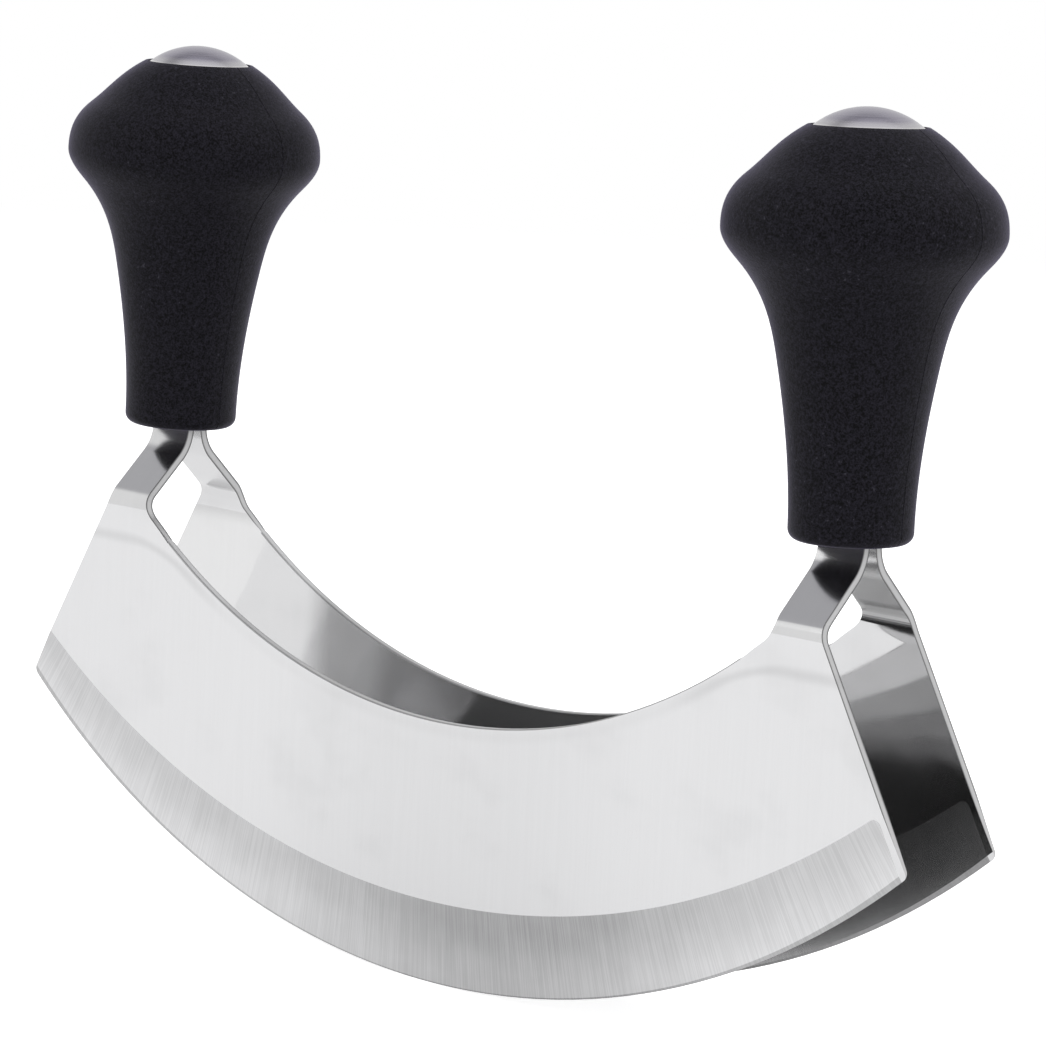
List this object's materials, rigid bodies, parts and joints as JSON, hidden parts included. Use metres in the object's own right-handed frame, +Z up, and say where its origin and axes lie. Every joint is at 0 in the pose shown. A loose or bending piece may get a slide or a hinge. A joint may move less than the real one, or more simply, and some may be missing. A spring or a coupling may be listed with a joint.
{
  "type": "mezzaluna",
  "caption": "Mezzaluna with two parallel curved steel blades and an upright knob grip with a steel cap at each end, for rocking over herbs.",
  "frame": {"origin": "midway between the two blades, at the height of the lowest points of the cutting edges", "axes": "+X along the blades, +Y across them towards the rear blade, +Z up towards the grips"},
  "size_m": [0.1994, 0.045, 0.1531],
  "materials": {
    "blade": "polished faces, with a finely ground band along the edge",
    "grip": "matte, fine moulded grain",
    "cap": "satin",
    "spacer": "plain",
    "pins": "plain"
  },
  "bodies": {
    "root": {"front_blade": "blade", "rear_blade": "blade", "left_front_grip": "grip", "left_rear_grip": "grip", "right_front_grip": "grip", "right_rear_grip": "grip", "left_cap": "cap", "right_cap": "cap", "left_tang_spacer": "spacer", "right_tang_spacer": "spacer", "left_cross_pins": "pins", "right_cross_pins": "pins"}
  },
  "joints": []
}
